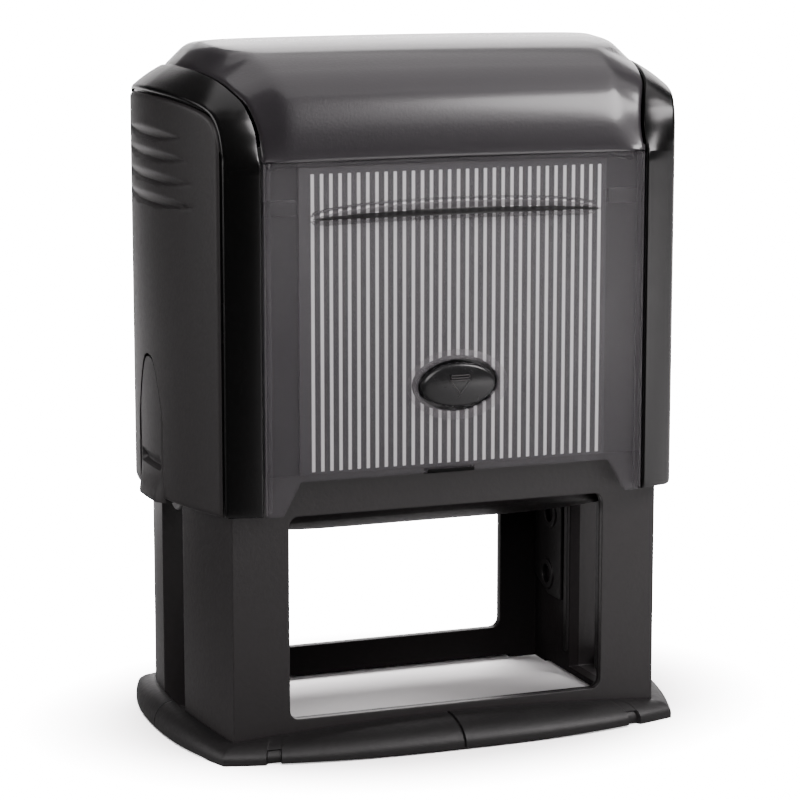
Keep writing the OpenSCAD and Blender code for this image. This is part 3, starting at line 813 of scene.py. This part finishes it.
def foot():
    """Bowed skirt swept round the tower, with parting grooves and notches."""
    us = [0, .0035, .007, .012, .03, .08, .15, .22, .3, .38, .46, .54, .62, .68, .73, .765, .773,
          .779, .783, .8, .815, .831, .835, .841, .85, .88, .91, .94, .965, .985, 1.0]
    us = [-v for v in us[:0:-1]] + us
    prof = [(math.pi / 2 * k / 16) for k in range(16, -1, -1)]
    rows = []
    for side in range(4):
        for u in us[:-1]:
            long_side = side % 2 == 0
            if long_side:
                p = np.array([u * FOOT_X, -FOOT_Y - FOOT_BY * (1 - abs(u) ** 2.6)])
                q = np.array([u * TOWER_X, -TOWER_Y])
            else:
                p = np.array([FOOT_X + FOOT_BX * (1 - abs(u) ** 2.3), u * FOOT_Y])
                r = (TOWER_Y ** 2 + TOWER_BOW ** 2) / (2 * TOWER_BOW)
                yy = u * TOWER_Y
                q = np.array([TOWER_X + TOWER_BOW - (r - math.sqrt(r * r - yy * yy)), yy])
            if side == 2:
                p, q = -p, -q
            if side == 3:
                p, q = -p, -q
            seam = 2.7 + 1.4 * (1 - u * u)
            arch = 0.18 * smooth((0.86 - abs(u)) / 0.1)
            notch = 1.0 if long_side and .773 < abs(u) < .835 else 0.0
            mid = 0.3 if abs(u) < .004 else 0.0
            d = p - q
            row = [(q[0], q[1], arch), (q[0], q[1], seam)]
            for a in prof:
                f, z = math.cos(a), 0.75 + arch * 0.4 + (seam - 0.75 - arch * 0.4) * math.sin(a)
                f -= mid * 1.2 * math.cos(a) / np.linalg.norm(d)
                if notch:
                    f -= (0.7 if z < 2.0 else 0.25) / np.linalg.norm(d)
                if mid:
                    z -= 0.3
                row.append((q[0] + d[0] * f, q[1] + d[1] * f, z))
            f = 1 - (0.8 / np.linalg.norm(d) if notch else 0)
            row.append((q[0] + d[0] * f, q[1] + d[1] * f, arch + 0.12))
            row.append((q[0] + d[0] * (f - 0.03), q[1] + d[1] * (f - 0.03), arch))
            rows.append(row)
    cols = len(rows[0])
    return make("foot", [p for r in rows for p in r],
                grid_faces(len(rows), cols, wrap_r=True, wrap_c=True), 28)


f = foot()
dress(f, "foot", "frame", "foot", "foot_skirt")


# ---------- springs ----------

def spring(sx):
    """Wound return spring with closed ends."""
    turns, per, k, r, w = 8, 40, 12, 5.5, 0.5
    z0, z1 = 53.9, 95.4
    n = turns * per
    vs = []
    for i in range(n + 1):
        a = 2 * math.pi * i / per
        u = i / n
        flat = 0.06
        uu = max(0.0, min(1.0, (u - flat) / (1 - 2 * flat)))
        z = z0 + 0.5 * u + (z1 - z0 - 0.5) * uu
        for j in range(k):
            t = 2 * math.pi * j / k
            rr = r + w * math.cos(t)
            vs.append((sx * 20 + rr * math.cos(a), rr * math.sin(a), z + w * math.sin(t)))
    fs = grid_faces(n + 1, k, wrap_c=True)
    fs += [tuple(range(k)), tuple(range(n * k, (n + 1) * k))]
    return make("spring", vs, fs, 60)


for sx, nm in ((-1, "left"), (1, "right")):
    sp = spring(sx)
    sp.name = "spring_" + nm
    dress(sp, "steel", "frame", "spring_steel", "return_spring_" + nm)
    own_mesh(sp)


# ---------- CAD pieces that stay, with rounded edges ----------

def keep(node, mat, bevel=0.2, angle=30):
    """CAD piece shown as it is, with a material and rounded edges."""
    ob = frame["nodes"][node]
    ob.data.materials.clear()
    ob.data.materials.append(M[mat])
    w = ob.modifiers.new("weld", "WELD")
    w.merge_threshold = 1e-6
    if bevel:
        b = ob.modifiers.new("edges", "BEVEL")
        b.width = bevel * MM
        b.segments = 2
        b.limit_method = "ANGLE"
        b.angle_limit = math.radians(angle)
    return ob


keep("frame_tower", "tower", 0)
for nm in ("guide_plate_left", "guide_plate_right"):
    keep(nm, "guide", 0.12)
keep("pad_tray", "tower", 0.2)
keep("die_holder", "tower", 0.4)
keep("text_die", "rubber", 0.08)
keep("die_cushion", "foam", 0.15)
pad = keep("ink_pad", "ink", 0.4)
for nm in ("carrier_arm_left", "carrier_arm_right"):
    keep(nm, "arm", 0.3)
for nm in ("axle_pin_left", "axle_pin_right"):
    keep(nm, "steel", 0.2)


# ---------- floor, backdrop, light, camera ----------

def stage_material():
    """White paper: bright to the camera, with the soft shadow kept near the stamp."""
    m = bpy.data.materials.new("paper")
    m.use_nodes = True
    nt = m.node_tree
    b = nt.nodes["Principled BSDF"]
    b.inputs["Roughness"].default_value = 0.8
    b.inputs["Specular IOR Level"].default_value = 0.1
    b.inputs["Emission Color"].default_value = (1, 1, 1, 1)
    path = nt.nodes.new("ShaderNodeLightPath")
    tc = nt.nodes.new("ShaderNodeTexCoord")
    wide = nt.nodes.new("ShaderNodeMapping")
    wide.inputs["Scale"].default_value = (1, 1.35, 1)
    nt.links.new(tc.outputs["Object"], wide.inputs["Vector"])
    dist = nt.nodes.new("ShaderNodeVectorMath")
    dist.operation = "LENGTH"
    nt.links.new(wide.outputs["Vector"], dist.inputs[0])
    far = ramp(nt, dist.outputs["Value"], 0.038, 0.075, 0.0, 16.0)
    nt.links.new(calc(nt, "MULTIPLY", path.outputs["Is Camera Ray"], far),
                 b.inputs["Emission Strength"])
    # what the stamp mirrors: dark towards the front left, bright towards the right and the back
    xyz = nt.nodes.new("ShaderNodeSeparateXYZ")
    nt.links.new(tc.outputs["Object"], xyz.inputs["Vector"])
    x, y = xyz.outputs["X"], xyz.outputs["Y"]
    right_part = calc(nt, "MULTIPLY", ramp(nt, x, 0.08, 0.24, 0.0, 0.3),
                      ramp(nt, y, -0.4, -0.15, 1.0, 0.0))
    back_part = calc(nt, "MULTIPLY", ramp(nt, x, -0.27, -0.05, 0.0, 0.22),
                     ramp(nt, y, 0.12, 0.26))
    mirrored_tone = calc(nt, "ADD", ramp(nt, x, -0.14, 0.2, 0.0, 0.19),
                         calc(nt, "ADD", right_part, back_part))
    tone = nt.nodes.new("ShaderNodeMix")
    tone.data_type = "RGBA"
    tone.inputs["B"].default_value = (0.7, 0.69, 0.69, 1)
    nt.links.new(mirrored_tone, tone.inputs["A"])
    nt.links.new(path.outputs["Is Camera Ray"], tone.inputs["Factor"])
    nt.links.new(tone.outputs["Result"], b.inputs["Base Color"])
    return m


def paper_sheet(near=-7.0, flat_end=0.8, radius=0.9, half=7.0):
    """Paper on the table that curves up behind the stamp, in metres."""
    rows = [(y, 0.0) for y in np.linspace(near, flat_end, 22)]
    for a in np.linspace(0, math.pi / 2, 19)[1:]:
        rows.append((flat_end + radius * math.sin(a), radius * (1 - math.cos(a))))
    vs = [(x / MM, y / MM, z / MM) for y, z in rows for x in np.linspace(-half, half, 41)]
    return make("floor", vs, grid_faces(len(rows), 41), 60)


floor = paper_sheet()
floor.data.materials.append(stage_material())


def area(name, loc, target, size, power, size_y=None):
    """Soft box at loc that looks at target."""
    li = bpy.data.lights.new(name, "AREA")
    li.shape = "RECTANGLE"
    li.size = size
    li.size_y = size_y or size
    li.energy = power
    li.color = (1.0, 0.965, 0.975)
    ob = bpy.data.objects.new(name, li)
    ob.location = loc
    d = Vector(target) - Vector(loc)
    ob.rotation_euler = d.to_track_quat("-Z", "Y").to_euler()
    bpy.context.scene.collection.objects.link(ob)
    return ob


wash = area("floor_wash", (0, 0.1, 1.3), (0, 0.1, 0), 0.8, 165.0)
only_floor = bpy.data.collections.new("floor_only")
only_floor.objects.link(floor)
wash.light_linking.receiver_collection = only_floor

area("back_card", (0.58, 1.1, 0.45), (0.05, 0, 0.1), 0.8, 6.0, 1.0)
area("ceiling", (0.25, 0.15, 1.1), (0.05, 0, 0.1), 1.3, 5.0, 1.1)
area("left", (-0.95, 0.15, 0.3), (0, 0, 0.06), 0.8, 5.0, 0.6)
area("right", (0.6, -0.5, 0.68), (0, 0, 0.09), 0.5, 8.5, 0.34)
# the front light is kept off the glossy pieces, where it would mirror as a hard patch
front = area("front", (-0.35, -0.9, 0.62), (0, 0, 0.05), 0.7, 8.0)
dull = bpy.data.collections.new("matte_pieces")
for ob in bpy.context.scene.objects:
    if ob.type == "MESH" and ob.name not in ("cover_dome", "band_left", "band_right"):
        dull.objects.link(ob)
front.light_linking.receiver_collection = dull
card_light = area("card_light", (-0.1, -0.9, 0.4), (0, 0, 0.06), 0.5, 6.0)
cards = bpy.data.collections.new("cards")
for ob in bpy.context.scene.objects:
    if ob.name.startswith("card_"):
        cards.objects.link(ob)
card_light.light_linking.receiver_collection = cards

world = bpy.context.scene.world or bpy.data.worlds.new("World")
bpy.context.scene.world = world
world.use_nodes = True
bg = world.node_tree.nodes["Background"]
bg.inputs["Color"].default_value = (0.95, 0.92, 0.92, 1)
# dim for the light it gives, white where the camera looks past the paper
ray = world.node_tree.nodes.new("ShaderNodeLightPath")
dim = world.node_tree.nodes.new("ShaderNodeMapRange")
dim.inputs["To Min"].default_value = 0.08
dim.inputs["To Max"].default_value = 16.0
world.node_tree.links.new(ray.outputs["Is Camera Ray"], dim.inputs["Value"])
world.node_tree.links.new(dim.outputs["Result"], bg.inputs["Strength"])

cam_data = bpy.data.cameras.new("camera")
cam = bpy.data.objects.new("camera", cam_data)
cam_data.sensor_width = 36.0
cam_data.lens = 130.914
cam_data.clip_start = 0.01
cam_data.clip_end = 20
az, el, dist = math.radians(-20.82), math.radians(9.963), 0.4513
target = Vector((0.00006, 0, 0.0485))
back = Vector((math.sin(az) * math.cos(el), -math.cos(az) * math.cos(el), math.sin(el)))
cam.location = target + back * dist
cam.rotation_euler = (-back).to_track_quat("-Z", "Y").to_euler()
bpy.context.scene.collection.objects.link(cam)
bpy.context.scene.camera = cam
